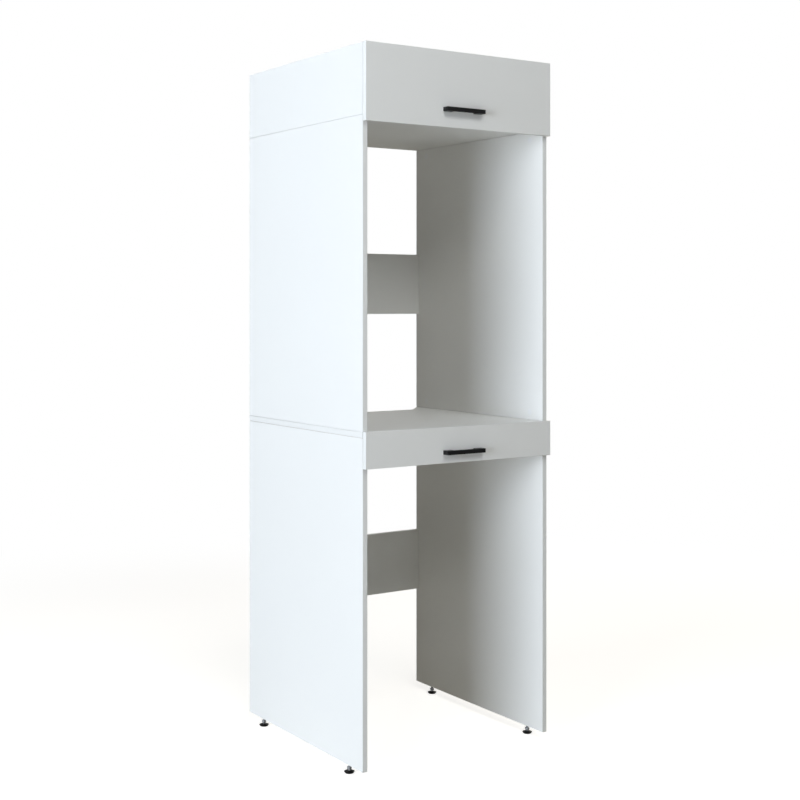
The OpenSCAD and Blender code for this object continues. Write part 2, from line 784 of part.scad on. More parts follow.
module strut_cylinder(side) {
    along_strut(side) {
        color(black) difference() {
            union() {
                translate([-eye_w / 2, 0, 0]) rod_x(2 * eye_r, eye_w);
                cylinder(d = strut_stud_d, h = cylinder_s + fit);
                translate([0, 0, cylinder_s]) cylinder(d = cylinder_d, h = cylinder_end_s - cylinder_s);
            }
            translate([-eye_w / 2 + eye_w - eye_bore_l, 0, 0]) rod_x(strut_stud_d + 2 * fit, eye_w);
            translate([0, 0, cylinder_s + cylinder_floor_t])
                cylinder(r = bore_r, h = cylinder_end_s - cylinder_s - cylinder_floor_t - gland_l);
            translate([0, 0, cylinder_end_s - gland_l - cut])
                cylinder(d = strut_rod_d + 2 * fit, h = gland_l + 2 * cut);
        }
    }
}

module strut_rod(side) {
    along_strut(side) {
        color(zinc) {
            translate([0, 0, piston_s]) cylinder(r = bore_r - fit, h = piston_l);
            translate([0, 0, piston_s]) cylinder(d = strut_rod_d, h = strut_l - eye_r - 3 - piston_s);
        }
        color(black) difference() {
            union() {
                translate([-eye_w / 2, 0, strut_l]) rod_x(2 * eye_r, eye_w);
                translate([0, 0, strut_l - eye_r - 5]) cylinder(d = strut_stud_d, h = eye_r + 2);
            }
            translate([-eye_w / 2 - cut, 0, strut_l]) rod_x(strut_stud_d + 2 * fit, eye_bore_l + cut);
        }
    }
}

module carcass_screws() {
    color(zinc) {
        both_sides() {
            runner_screw_places() wood_screw(screw_d, screw_head_d, screw_l);
            strut_bracket_screw_places() wood_screw(screw_d, screw_head_d, screw_l);
        }
        both_hinges() for (x = hinge_screw_xs) translate([x, front_y - leaf_t, hinge_screw_z])
            rotate([-90, 0, 0]) wood_screw(small_screw_d, small_screw_head_d, small_screw_l);
    }
}

module drawer_front() {
    color(white) difference() {
        translate([-half_w, face_y, drawer_front_z]) cube([cabinet_w, front_t, drawer_front_h]);
        handle_screw_places(drawer_handle_z) translate([0, 0, -cut])
            cylinder(d = handle_screw_d + 2 * fit, h = front_t + 2 * cut);
        front_screw_places() wood_screw_hole(screw_d, screw_head_d, front_screw_l);
    }
}

// Screws that hold the drawer front, from the inner face of the box front
module front_screw_places() {
    for (x = [-front_screw_x, front_screw_x], z = box_screw_zs)
        translate([x, fronts_y + drawer_t, drawer_box_z + z + (z < drawer_box_h / 2 ? 14 : -8)])
            rotate([90, 0, 0]) children();
}

// Screws that hold the drawer sides to the front and the back of the box
module box_screw_places() {
    for (y = [fronts_y + drawer_t / 2, drawer_back_y - drawer_t / 2], z = box_screw_zs)
        translate([drawer_box_x, y, drawer_box_z + z]) rotate([0, -90, 0]) children();
}

module drawer_box_front() {
    color(white) difference() {
        translate([-drawer_inner_x, fronts_y, drawer_box_z])
            cube([2 * drawer_inner_x, drawer_t, drawer_box_h]);
        drawer_sheet(fit);
        handle_screw_places(drawer_handle_z) translate([0, 0, -drawer_t - cut])
            cylinder(d = handle_screw_d + 2 * fit, h = drawer_t + 2 * cut);
        front_screw_places() wood_screw_hole(screw_d, screw_head_d, front_screw_l);
        both_sides() box_screw_places() wood_screw_hole(screw_d, screw_head_d, corner_screw_l);
    }
}

module drawer_box_back() {
    color(white) difference() {
        translate([-drawer_inner_x, drawer_back_y - drawer_t, drawer_box_z])
            cube([2 * drawer_inner_x, drawer_t, drawer_box_h]);
        drawer_sheet(fit);
        both_sides() box_screw_places() wood_screw_hole(screw_d, screw_head_d, corner_screw_l);
    }
}

module drawer_box_side(side) {
    color(white) on_side(side) difference() {
        translate([drawer_inner_x, fronts_y, drawer_box_z]) cube([drawer_t, runner_l, drawer_box_h]);
        drawer_sheet(fit);
        box_screw_places() wood_screw_hole(screw_d, screw_head_d, corner_screw_l);
        drawer_screw_places() wood_screw_hole(screw_d, screw_head_d, runner_screw_l);
    }
}

// Fibreboard bottom of the drawer, which is grown by gap to cut its grooves
module drawer_sheet(gap = 0) {
    reach = groove_d - play + gap;
    sheet_z = drawer_box_z + drawer_bottom_rise - gap;
    translate([-drawer_inner_x - reach, fronts_y + drawer_t - reach, sheet_z])
        cube([2 * (drawer_inner_x + reach), runner_l - 2 * drawer_t + 2 * reach, sheet_t + 2 * gap]);
}

module drawer_bottom() {
    color(sheet_white) drawer_sheet();
}

module drawer_box_screws() {
    color(zinc) {
        front_screw_places() wood_screw(screw_d, screw_head_d, front_screw_l);
        both_sides() box_screw_places() wood_screw(screw_d, screw_head_d, corner_screw_l);
    }
}

module drawer_runner_screws() {
    color(zinc) both_sides() drawer_screw_places() wood_screw(screw_d, screw_head_d, runner_screw_l);
}

// Axes of a handle's screws, from the front's inner face towards the handle
module handle_screw_places(z) {
    for (x = [-handle_screw_gap / 2, handle_screw_gap / 2])
        translate([x, fronts_y, z]) rotate([90, 0, 0]) children();
}

// Bow handle with two square posts and a thinner grip
module handle(z) {
    grip_l = handle_l - 2 * handle_post_l;
    ramp = 2;
    color(black) difference() {
        translate([0, face_y, z - handle_h / 2]) linear_extrude(handle_h) polygon([
            [-handle_l / 2, 0], [-handle_l / 2, -handle_reach], [handle_l / 2, -handle_reach],
            [handle_l / 2, 0], [grip_l / 2, 0], [grip_l / 2, ramp + handle_grip_t - handle_reach],
            [grip_l / 2 - ramp, handle_grip_t - handle_reach],
            [ramp - grip_l / 2, handle_grip_t - handle_reach],
            [-grip_l / 2, ramp + handle_grip_t - handle_reach], [-grip_l / 2, 0]]);
        handle_screw_places(z) cylinder(d = handle_screw_d + 2 * fit, h = front_t + 12);
    }
}

// Handle screws whose heads sit depth behind the front's inner face
module handle_screws(z, depth) {
    color(zinc) handle_screw_places(z) translate([0, 0, -depth])
        head_screw(handle_screw_d, handle_screw_head_d, front_t + depth + 10);
}

module flap_panel() {
    color(white) difference() {
        translate([-half_w, face_y, flap_z]) cube([cabinet_w, front_t, top_z - flap_z]);
        handle_screw_places(flap_handle_z) translate([0, 0, -cut])
            cylinder(d = handle_screw_d + 2 * fit, h = front_t + 2 * cut);
        both_hinges() flap_hinge_screw_places()
            wood_screw_hole(small_screw_d, small_screw_head_d, small_screw_l);
        both_sides() flap_bracket_screw_places() wood_screw_hole(screw_d, screw_head_d, screw_l);
    }
}

module flap_screws() {
    color(zinc) {
        both_hinges() flap_hinge_screw_places()
            wood_screw(small_screw_d, small_screw_head_d, small_screw_l);
        both_sides() flap_bracket_screw_places() wood_screw(screw_d, screw_head_d, screw_l);
    }
}

// Pad of a foot with the socket for the stud's ball end
module foot_pad(side, y) {
    on_side(side) color(black) translate([foot_x, y, 0]) difference() {
        union() {
            cylinder(d1 = pad_base_d, d2 = pad_d, h = pad_rim_h);
            translate([0, 0, pad_rim_h]) cylinder(d1 = pad_d, d2 = pad_top_d, h = pad_h - pad_rim_h);
        }
        translate([0, 0, pad_floor_t]) cylinder(r = ball_end_r + fit, h = pad_h);
    }
}

// Threaded stud of a foot with its hexagon and the end that turns in the pad
module foot_stud(side, y) {
    on_side(side) color(zinc) translate([foot_x, y, 0]) {
        translate([0, 0, stud_z]) cylinder(r = ball_end_r, h = pad_h - stud_z - play);
        translate([0, 0, stud_z]) cylinder(d = stud_d, h = hex_rise + hex_h + stud_l - stud_z);
        translate([0, 0, hex_rise]) cylinder(d = hex_w / cos(30), h = hex_h, $fn = 6);
    }
}

lower_side(-1);  // lower_side_left
lower_side(1);  // lower_side_right
dryer_shelf();
upper_side(-1);  // upper_side_left
upper_side(1);  // upper_side_right
top_box_side(-1);  // top_box_side_left
top_box_side(1);  // top_box_side_right
top_box_floor();
top_board();
top_box_back();
rear_rail(upper_rail_z);  // upper_rear_rail
rear_rail(lower_rail_z);  // lower_rear_rail
wooden_dowels();
cam_discs();
connecting_bolts();
cam_cover_caps();
foot_inserts();
front_bumpers();
runner_outer(-1);  // runner_outer_left
runner_outer(1);  // runner_outer_right
hinge_carcass_leaves();
hinge_pins();
strut_wall_brackets();
carcass_screws();
drawer_front();
handle(drawer_handle_z);  // drawer_handle
handle_screws(drawer_handle_z, drawer_t);  // drawer_handle_screws
drawer_box_front();
drawer_box_side(-1);  // drawer_box_side_left
drawer_box_side(1);  // drawer_box_side_right
drawer_box_back();
drawer_bottom();
drawer_box_screws();
runner_inner(-1);  // runner_inner_left
runner_inner(1);  // runner_inner_right
drawer_runner_screws();
runner_middle(-1);  // runner_middle_left
runner_middle(1);  // runner_middle_right
outer_ball_cage(-1);  // outer_ball_cage_left
outer_ball_cage(1);  // outer_ball_cage_right
inner_ball_cage(-1);  // inner_ball_cage_left
inner_ball_cage(1);  // inner_ball_cage_right
flap_panel();
handle(flap_handle_z);  // flap_handle
handle_screws(flap_handle_z, 0);  // flap_handle_screws
hinge_flap_leaves();
strut_flap_brackets();
flap_screws();
strut_cylinder(-1);  // strut_cylinder_left
strut_cylinder(1);  // strut_cylinder_right
strut_rod(-1);  // strut_rod_left
strut_rod(1);  // strut_rod_right
foot_pad(-1, foot_ys[0]);  // foot_pad_front_left
foot_pad(1, foot_ys[0]);  // foot_pad_front_right
foot_pad(-1, foot_ys[1]);  // foot_pad_rear_left
foot_pad(1, foot_ys[1]);  // foot_pad_rear_right
foot_stud(-1, foot_ys[0]);  // foot_stud_front_left
foot_stud(1, foot_ys[0]);  // foot_stud_front_right
foot_stud(-1, foot_ys[1]);  // foot_stud_rear_left
foot_stud(1, foot_ys[1]);  // foot_stud_rear_right
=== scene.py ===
import json
import math

import bmesh
import bpy
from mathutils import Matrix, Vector

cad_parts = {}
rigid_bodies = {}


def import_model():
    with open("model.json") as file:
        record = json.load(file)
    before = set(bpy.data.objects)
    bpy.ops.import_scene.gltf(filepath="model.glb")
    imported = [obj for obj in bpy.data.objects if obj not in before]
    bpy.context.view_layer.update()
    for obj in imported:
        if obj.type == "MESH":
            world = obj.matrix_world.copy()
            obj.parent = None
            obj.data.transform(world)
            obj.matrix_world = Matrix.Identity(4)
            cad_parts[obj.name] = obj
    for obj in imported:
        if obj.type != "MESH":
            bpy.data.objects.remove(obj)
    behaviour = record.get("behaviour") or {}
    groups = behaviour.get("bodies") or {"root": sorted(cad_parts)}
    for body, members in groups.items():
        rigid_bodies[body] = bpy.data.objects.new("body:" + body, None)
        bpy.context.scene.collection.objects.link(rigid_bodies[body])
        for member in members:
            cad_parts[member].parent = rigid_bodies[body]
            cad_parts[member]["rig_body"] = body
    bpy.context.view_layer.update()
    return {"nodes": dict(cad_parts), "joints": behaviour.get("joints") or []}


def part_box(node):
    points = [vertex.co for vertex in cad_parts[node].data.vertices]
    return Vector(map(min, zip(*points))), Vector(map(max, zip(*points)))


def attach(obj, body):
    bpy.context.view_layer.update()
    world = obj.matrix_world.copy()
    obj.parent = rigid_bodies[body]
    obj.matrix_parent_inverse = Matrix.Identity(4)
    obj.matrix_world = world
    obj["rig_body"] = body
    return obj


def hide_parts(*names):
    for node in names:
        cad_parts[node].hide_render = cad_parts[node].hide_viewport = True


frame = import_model()
cadNodes = frame["nodes"]
sameLevel = 0.00002  # a face this near a plane lies in it
samePoint = 0.000002  # points this near each other are one
squareOn = 0.999  # a normal's share along an axis, from which a face looks along it
print("frame loaded,", len(cadNodes), "nodes")


class Wire:
    # a socket of a tree; the operators add Math nodes
    def __init__(self, tree, socket):
        self.tree = tree
        self.socket = socket

    def other(self, name):
        return Wire(self.tree, self.socket.node.outputs[name])

    def __add__(self, value):
        return self.tree.maths("ADD", self, value)

    def __sub__(self, value):
        return self.tree.maths("SUBTRACT", self, value)

    def __mul__(self, value):
        return self.tree.maths("MULTIPLY", self, value)

    def __truediv__(self, value):
        return self.tree.maths("DIVIDE", self, value)

    def __rsub__(self, value):
        return self.tree.maths("SUBTRACT", value, self)

    def __rtruediv__(self, value):
        return self.tree.maths("DIVIDE", value, self)

    def __gt__(self, value):
        return self.tree.maths("GREATER_THAN", self, value)

    def __lt__(self, value):
        return self.tree.maths("LESS_THAN", self, value)

    __radd__ = __add__
    __rmul__ = __mul__


class Tree:
    # builds the nodes of a material, of the world or of a Geometry Nodes group
    def __init__(self, nodeTree):
        self.nodeTree = nodeTree

    def node(self, kind, settings=None, inputs=None, output=0):
        node = self.nodeTree.nodes.new(kind)
        for name, value in (settings or {}).items():
            if name == "stops":
                ramp = node.color_ramp
                while len(ramp.elements) < len(value):
                    ramp.elements.new(0.5)
                for element, (position, colour) in zip(ramp.elements, value):
                    element.position = position
                    element.color = (*colour, 1)
            else:
                setattr(node, name, value)
        for name, value in (inputs or {}).items():
            for one in value if isinstance(value, list) else [value]:
                if isinstance(one, Wire):
                    self.nodeTree.links.new(one.socket, node.inputs[name])
                else:
                    node.inputs[name].default_value = one
        return Wire(self, node.outputs[output]) if len(node.outputs) else node

    def maths(self, operation, *values):
        return self.node("ShaderNodeMath", {"operation": operation}, dict(enumerate(values)))

    def mix(self, share, first, second):
        return self.node(
            "ShaderNodeMix", {"data_type": "RGBA"}, {0: share, 6: first, 7: second}, 2
        )

    def noise(self, vector, scale, detail=2.0, roughness=0.5):
        return self.node(
            "ShaderNodeTexNoise", {},
            {"Vector": vector, "Scale": scale, "Detail": detail, "Roughness": roughness},
        )


def rgb(red, green, blue):
    return (red, green, blue, 1)


def newMaterial(name):
    material = bpy.data.materials.new(name)
    material.use_nodes = True
    material.node_tree.nodes.clear()
    tree = Tree(material.node_tree)
    tree.place = tree.node("ShaderNodeTexCoord", {}, {}, "Object")
    return material, tree


def finishMaterial(tree, sockets, height=None, depth=0.0001):
    if height is not None:
        sockets["Normal"] = tree.node(
            "ShaderNodeBump", {}, {"Strength": 1.0, "Distance": depth, "Height": height}
        )
    shader = tree.node("ShaderNodeBsdfPrincipled", {}, sockets)
    tree.node("ShaderNodeOutputMaterial", {}, {"Surface": shader})


def stretched(tree, x, y, z):
    return tree.node("ShaderNodeMapping", {}, {"Vector": tree.place, "Scale": (x, y, z)})


def melamineFinish():
    look = {
        "tint": rgb(0.872, 0.872, 0.856), "shade": rgb(0.85, 0.85, 0.832),
        "cloudScale": 2.2, "smearScale": 14, "pearlScale": 1300, "pearlDepth": 0.00002, "rough": 0.5,
    }
    material, tree = newMaterial("whiteMelamine")
    cloud = tree.noise(tree.place, look["cloudScale"], 3)
    pearl = tree.noise(tree.place, look["pearlScale"], 2)
    smear = tree.noise(tree.place, look["smearScale"], 4)
    finishMaterial(tree, {
        "Base Color": tree.mix(cloud * 0.7 + pearl * 0.3, look["tint"], look["shade"]),
        "Roughness": look["rough"] + smear * 0.1 + pearl * 0.05,
        "Specular IOR Level": 0.25,
    }, pearl, look["pearlDepth"])
    return material


def edgingFinish():
    look = {
        "tint": rgb(0.866, 0.868, 0.854), "shade": rgb(0.842, 0.844, 0.83),
        "milledScale": 900, "milledDepth": 0.00001, "smearScale": 25, "rough": 0.3,
    }
    material, tree = newMaterial("whiteEdging")
    fine = look["milledScale"]
    milled = tree.noise(stretched(tree, fine, fine, fine), 1, 2)
    smear = tree.noise(tree.place, look["smearScale"], 3)
    finishMaterial(tree, {
        "Base Color": tree.mix(smear, look["tint"], look["shade"]),
        "Roughness": look["rough"] + smear * 0.12,
    }, milled, look["milledDepth"])
    return material


def chipboardFinish():
    look = {
        "chipsPerMetre": 620, "flattened": 2.2, "chipDepth": 0.00015, "rough": 0.85,
        "pale": (0.62, 0.47, 0.3), "mid": (0.45, 0.31, 0.18), "dark": (0.25, 0.16, 0.09),
    }
    material, tree = newMaterial("rawChipboard")
    chips = tree.node(
        "ShaderNodeTexVoronoi", {"feature": "F1"},
        {"Vector": stretched(tree, 1, 1, look["flattened"]), "Scale": look["chipsPerMetre"],
         "Randomness": 1.0}, "Color",
    )
    shade = tree.node("ShaderNodeSeparateColor", {}, {"Color": chips}, "Red")
    colour = tree.node(
        "ShaderNodeValToRGB",
        {"stops": [(0.0, look["dark"]), (0.45, look["mid"]), (1.0, look["pale"])]}, {"Fac": shade},
    )
    finishMaterial(tree, {"Base Color": colour, "Roughness": look["rough"]}, shade, look["chipDepth"])
    return material


def hardboardFinish():
    look = {
        "tint": rgb(0.845, 0.846, 0.83), "shade": rgb(0.81, 0.81, 0.79),
        "cloudScale": 5, "peelScale": 420, "peelDepth": 0.00004, "rough": 0.42,
    }
    material, tree = newMaterial("whiteHardboard")
    cloud = tree.noise(tree.place, look["cloudScale"], 4)
    peel = tree.noise(tree.place, look["peelScale"], 3)
    finishMaterial(tree, {
        "Base Color": tree.mix(cloud, look["tint"], look["shade"]),
        "Roughness": look["rough"] + cloud * 0.12,
    }, peel, look["peelDepth"])
    return material


def beechFinish():
    look = {
        "pale": rgb(0.66, 0.49, 0.31), "fleck": rgb(0.42, 0.27, 0.15), "fleckScale": 900,
        "alongGrain": 60, "acrossGrain": 700, "grainDepth": 0.0001, "rough": 0.7,
    }
    material, tree = newMaterial("beechDowel")
    fleck = tree.node(
        "ShaderNodeTexVoronoi", {}, {"Vector": tree.place, "Scale": look["fleckScale"]}, "Distance")
    grain = tree.noise(stretched(tree, look["alongGrain"], look["acrossGrain"], look["acrossGrain"]), 1, 4)
    finishMaterial(tree, {
        "Base Color": tree.mix(grain * 0.7 + fleck * 0.3, look["pale"], look["fleck"]),
        "Roughness": look["rough"],
    }, grain, look["grainDepth"])
    return material


def metalFinish(name, tint, shade, rough, spread, patchSize, depth, metal=1.0):
    # plated or cast metal with soft patches and a fine grain; foil with metal at 0
    material, tree = newMaterial(name)
    patches = tree.noise(tree.place, 1 / patchSize, 3)
    grain = tree.noise(tree.place, 1 / patchSize * 14, 2)
    finishMaterial(tree, {
        "Base Color": tree.mix(patches, tint, shade),
        "Metallic": metal,
        "Roughness": rough + patches * spread + grain * 0.04,
    }, grain, depth)
    return material


def darkFinish(name, tint, shade, rough, texture, depth, gloss):
    # black paint, powder coat or moulded plastic
    material, tree = newMaterial(name)
    peel = tree.noise(tree.place, texture, 2)
    worn = tree.noise(tree.place, 60, 4)
    finishMaterial(tree, {
        "Base Color": tree.mix(worn, tint, shade),
        "Roughness": rough + worn * 0.1,
        "Specular IOR Level": gloss,
    }, peel, depth)
    return material


def bumperFinish():
    look = {
        "tint": rgb(0.8, 0.8, 0.79), "shade": rgb(0.74, 0.74, 0.72), "hazeScale": 700,
        "hazeDepth": 0.00002, "rough": 0.35, "glowDepth": 0.002,
    }
    material, tree = newMaterial("clearBumper")
    haze = tree.noise(tree.place, look["hazeScale"], 2)
    finishMaterial(tree, {
        "Base Color": tree.mix(haze, look["tint"], look["shade"]),
        "Roughness": look["rough"] + haze * 0.1,
        "Subsurface Weight": 0.3,
        "Subsurface Radius": (look["glowDepth"],) * 3,
    }, haze, look["hazeDepth"])
    return material


finishes = {
    "melamine": melamineFinish(),
    "edging": edgingFinish(),
    "chipboard": chipboardFinish(),
    "hardboard": hardboardFinish(),
    "beech": beechFinish(),
    "castZinc": metalFinish(
        "castZinc", rgb(0.58, 0.58, 0.59), rgb(0.45, 0.45, 0.46), 0.38, 0.2, 0.004, 0.00006),
    "zincPlate": metalFinish(
        "zincPlate", rgb(0.76, 0.77, 0.79), rgb(0.64, 0.66, 0.69), 0.24, 0.16, 0.012, 0.00001),
    # painted shade: the studs' zinc is a darker copy of the zinc plate, standing in for the dark
    # reflections on the stud and hexagon
    "shadedStudZinc": metalFinish(
        "shadedStudZinc", rgb(0.38, 0.39, 0.41), rgb(0.26, 0.27, 0.29), 0.3, 0.15, 0.006, 0.00002),
    "polishedRod": metalFinish(
        "polishedRod", rgb(0.82, 0.82, 0.83), rgb(0.76, 0.76, 0.78), 0.07, 0.05, 0.02, 0.000002),
    "cylinderPaint": darkFinish(
        "cylinderPaint", rgb(0.012, 0.012, 0.013), rgb(0.02, 0.02, 0.021), 0.26, 900, 0.00001, 0.5),
    "powderCoat": darkFinish(
        "powderCoat", rgb(0.003, 0.003, 0.0032), rgb(0.007, 0.007, 0.007), 0.38, 1500, 0.00003, 0.13),
    "mouldedBlack": darkFinish(
        "mouldedBlack", rgb(0.003, 0.003, 0.003), rgb(0.008, 0.008, 0.008), 0.45, 1100, 0.00003, 0.12),
    "capFoil": metalFinish(
        "capFoil", rgb(0.862, 0.866, 0.868), rgb(0.85, 0.853, 0.855), 0.34, 0.1, 0.02, 0.00001, 0.0),
    "bumper": bumperFinish(),
}
print("finishes made,", len(finishes))


def bodyOf(node):
    return cadNodes[node]["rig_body"]


def addObject(name, data):
    thing = bpy.data.objects.new(name, data)
    bpy.context.scene.collection.objects.link(thing)
    return thing


def mergedMesh(node, planar=True):
    # a closed copy of a CAD node's mesh, with its flat faces joined up
    flatWithin = math.radians(0.4)
    bm = bmesh.new()
    bm.from_mesh(cadNodes[node].data)
    bmesh.ops.remove_doubles(bm, verts=bm.verts, dist=samePoint)
    if planar:
        bmesh.ops.dissolve_limit(
            bm, angle_limit=flatWithin, verts=bm.verts, edges=bm.edges, use_dissolve_boundaries=False)
    bm.normal_update()
    return bm


def smoothMesh(mesh, smoothAngle):
    # smooth shading with sharp edges where faces meet at more than the angle
    for polygon in mesh.polygons:
        polygon.use_smooth = True
    mesh.set_sharp_from_angle(angle=math.radians(smoothAngle))


def pieceFromMesh(name, bm, materials, smoothAngle=25):
    mesh = bpy.data.meshes.new(name)
    bm.to_mesh(mesh)
    bm.free()
    smoothMesh(mesh, smoothAngle)
    for material in materials:
        mesh.materials.append(material)
    return addObject(name, mesh)


def flattenFaces(piece):
    # large flat faces keep a flat shading, their eased edges blend into them
    weighted = piece.modifiers.new("flatFaces", "WEIGHTED_NORMAL")
    weighted.keep_sharp = True


def standFor(piece, *nodes):
    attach(piece, bodyOf(nodes[0]))
    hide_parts(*nodes)


def convexEdges(bm, sharpness, shortest):
    return [
        e for e in bm.edges
        if len(e.link_faces) == 2 and e.is_convex
        and e.calc_face_angle(0) > math.radians(sharpness) and e.calc_length() > shortest
    ]


def easeEdges(bm, edges, width, segments):
    bmesh.ops.bevel(
        bm, geom=edges, offset=width, offset_type="OFFSET", segments=segments, profile=0.5,
        affect="EDGES", clamp_overlap=True)


def keepCad(node, finish):
    # a CAD node whose shape is right gets its finish
    material = finishes[finish]
    slots = cadNodes[node].material_slots
    if slots:
        for one in slots:
            one.material = material
    else:
        cadNodes[node].data.materials.append(material)


def islandsOf(node):
    # the separate solids of a node, as lists of points
    bm = mergedMesh(node, planar=False)
    seen = set()
    found = []
    for first in bm.verts:
        if first in seen:
            continue
        seen.add(first)
        queue = [first]
        island = []
        while queue:
            vert = queue.pop()
            island.append(vert.co.copy())
            for edge in vert.link_edges:
                near = edge.other_vert(vert)
                if near not in seen:
                    seen.add(near)
                    queue.append(near)
        found.append(island)
    bm.free()
    return found


def boxOf(points):
    low = Vector([min(p[k] for p in points) for k in range(3)])
    high = Vector([max(p[k] for p in points) for k in range(3)])
    return low, high


boards = {
    "ease": 0.001, "segments": 3, "sharpness": 40, "shortest": 0.02, "smoothAngle": 50,
    "smallestCut": 0.0004,  # area of the smallest cut-out's edge that gets edging
    "jointGap": 0.00045,  # hairline between two boards that stand on each other
    "jointTop": ["lower_side_left", "lower_side_right", "upper_side_left", "upper_side_right"],
    "jointFoot": ["upper_side_left", "upper_side_right"],
    "melamine": [
        "lower_side_left", "lower_side_right", "dryer_shelf", "upper_side_left", "upper_side_right",
        "top_box_side_left", "top_box_side_right", "top_box_floor", "top_board", "upper_rear_rail",
        "lower_rear_rail", "drawer_front", "flap_panel", "drawer_box_front", "drawer_box_side_left",
        "drawer_box_side_right", "drawer_box_back",
    ],
    "hardboard": ["top_box_back", "drawer_bottom"],
}


def makeBoard(node):
    # melamine on both faces, edging round the rim, raw board in the bores and grooves
    low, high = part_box(node)
    size = high - low
    thin = min(range(3), key=lambda k: size[k])
    bm = mergedMesh(node)

    def onRim(face):
        # on the board's own box, or an edge as wide as the board is thick, such as a cut-out's
        centre = face.calc_center_median()
        for k in range(3):
            nearest = min(centre[k] - low[k], high[k] - centre[k])
            if abs(face.normal[k]) > squareOn and nearest < sameLevel:
                return True
        across = [v.co[thin] for v in face.verts]
        wholeEdge = max(across) - min(across) > size[thin] - sameLevel
        return wholeEdge and face.calc_area() > boards["smallestCut"]

    rim = {f for f in bm.faces if onRim(f)}
    sharp = convexEdges(bm, boards["sharpness"], boards["shortest"])
    edges = [e for e in sharp if all(f in rim for f in e.link_faces)]
    melamine, edging, chipboard = 0, 1, 2
    for face in bm.faces:
        face.material_index = melamine if face in rim else chipboard
    easeEdges(bm, edges, boards["ease"], boards["segments"])
    for face in bm.faces:
        if face.material_index != chipboard and abs(face.normal[thin]) < squareOn:
            face.material_index = edging
    # an end that meets another board is left unedged and draws a hairline
    for ends, level, step in (("jointTop", high.z, -1), ("jointFoot", low.z, 1)):
        if node not in boards[ends]:
            continue
        for face in bm.faces:
            if abs(face.calc_center_median().z - level) < sameLevel:
                face.material_index = chipboard
        for vert in bm.verts:
            if abs(vert.co.z - level) < boards["ease"] + samePoint:
                vert.co.z += step * boards["jointGap"]
    materials = [finishes[finish] for finish in ("melamine", "edging", "chipboard")]
    piece = pieceFromMesh(node + "_board", bm, materials, boards["smoothAngle"])
    flattenFaces(piece)
    standFor(piece, node)


for node in boards["melamine"]:
    makeBoard(node)
for node in boards["hardboard"]:
    keepCad(node, "hardboard")
print("boards made,", len(boards["melamine"]))


handles = {
    "round": 0.0012, "segments": 4, "sharpness": 35, "shortest": 0.003, "smoothAngle": 50,
    "offBoard": 0.0005,  # edges nearer the board stay sharp, unless they run away from it
    "runsAway": 0.001,
    "nodes": ["flap_handle", "drawer_handle"],
}


def makeHandle(node):
    bm = mergedMesh(node)
    low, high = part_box(node)
    edges = []
    for edge in convexEdges(bm, handles["sharpness"], handles["shortest"]):
        near, far = sorted(v.co.y for v in edge.verts)
        if far < high.y - handles["offBoard"] or far - near > handles["runsAway"]:
            edges.append(edge)
    easeEdges(bm, edges, handles["round"], handles["segments"])
    piece = pieceFromMesh(node + "_bow", bm, [finishes["powderCoat"]], handles["smoothAngle"])
    flattenFaces(piece)
    standFor(piece, node)


for node in handles["nodes"]:
    makeHandle(node)
print("handles made")


hardware = {
    "runner_outer_left": (0.0004, "zincPlate"), "runner_outer_right": (0.0004, "zincPlate"),
    "runner_middle_left": (0.0004, "zincPlate"), "runner_middle_right": (0.0004, "zincPlate"),
    "runner_inner_left": (0.0004, "zincPlate"), "runner_inner_right": (0.0004, "zincPlate"),
    "hinge_carcass_leaves": (0.0002, "zincPlate"), "hinge_flap_leaves": (0.0002, "zincPlate"),
    "strut_wall_brackets": (0.0005, "zincPlate"), "strut_flap_brackets": (0.0005, "zincPlate"),
}
metalEdges = {"sharpness": 40, "shortest": 0.0002, "segments": 2, "smoothAngle": 50}
carried = {
    "wooden_dowels": "beech", "cam_discs": "castZinc", "connecting_bolts": "zincPlate",
    "cam_cover_caps": "capFoil", "foot_inserts": "zincPlate", "hinge_pins": "polishedRod",
    "outer_ball_cage_left": "zincPlate", "outer_ball_cage_right": "zincPlate",
    "inner_ball_cage_left": "zincPlate", "inner_ball_cage_right": "zincPlate",
}


def makeHardware(node, ease, finish):
    bm = mergedMesh(node)
    edges = convexEdges(bm, metalEdges["sharpness"], metalEdges["shortest"])
    easeEdges(bm, edges, ease, metalEdges["segments"])
    piece = pieceFromMesh(node + "_metal", bm, [finishes[finish]], metalEdges["smoothAngle"])
    flattenFaces(piece)
    standFor(piece, node)


for node, (ease, finish) in hardware.items():
    makeHardware(node, ease, finish)
for node, finish in carried.items():
    keepCad(node, finish)

strut = {
    "round": 0.0005, "segments": 3,
    # the moulded sockets end here, measured along the strut from the cylinder's ball stud
    "tubeStart": 0.02, "rodEnd": 0.144,
}


def makeStrut(side):
    # painted tube and polished rod between two moulded sockets
    joints = {j["name"]: j for j in frame["joints"]}
    foot = Vector(joints["strut_" + side + "_pivot"]["pos_m"])
    along = Vector(joints["strut_" + side + "_rod_slide"]["axis"]).normalized()
    for part, metal in (("cylinder", "cylinderPaint"), ("rod", "polishedRod")):
        node = "strut_" + part + "_" + side
        bm = mergedMesh(node)
        edges = convexEdges(bm, metalEdges["sharpness"], metalEdges["shortest"])
        easeEdges(bm, edges, strut["round"], strut["segments"])
        for face in bm.faces:
            reach = (face.calc_center_median() - foot).dot(along)
            moulded = reach < strut["tubeStart"] if part == "cylinder" else reach > strut["rodEnd"]
            face.material_index = 1 if moulded else 0
        piece = pieceFromMesh(node + "_turned", bm, [finishes[metal], finishes["mouldedBlack"]])
        standFor(piece, node)


for side in ("left", "right"):
    makeStrut(side)
print("hardware made")


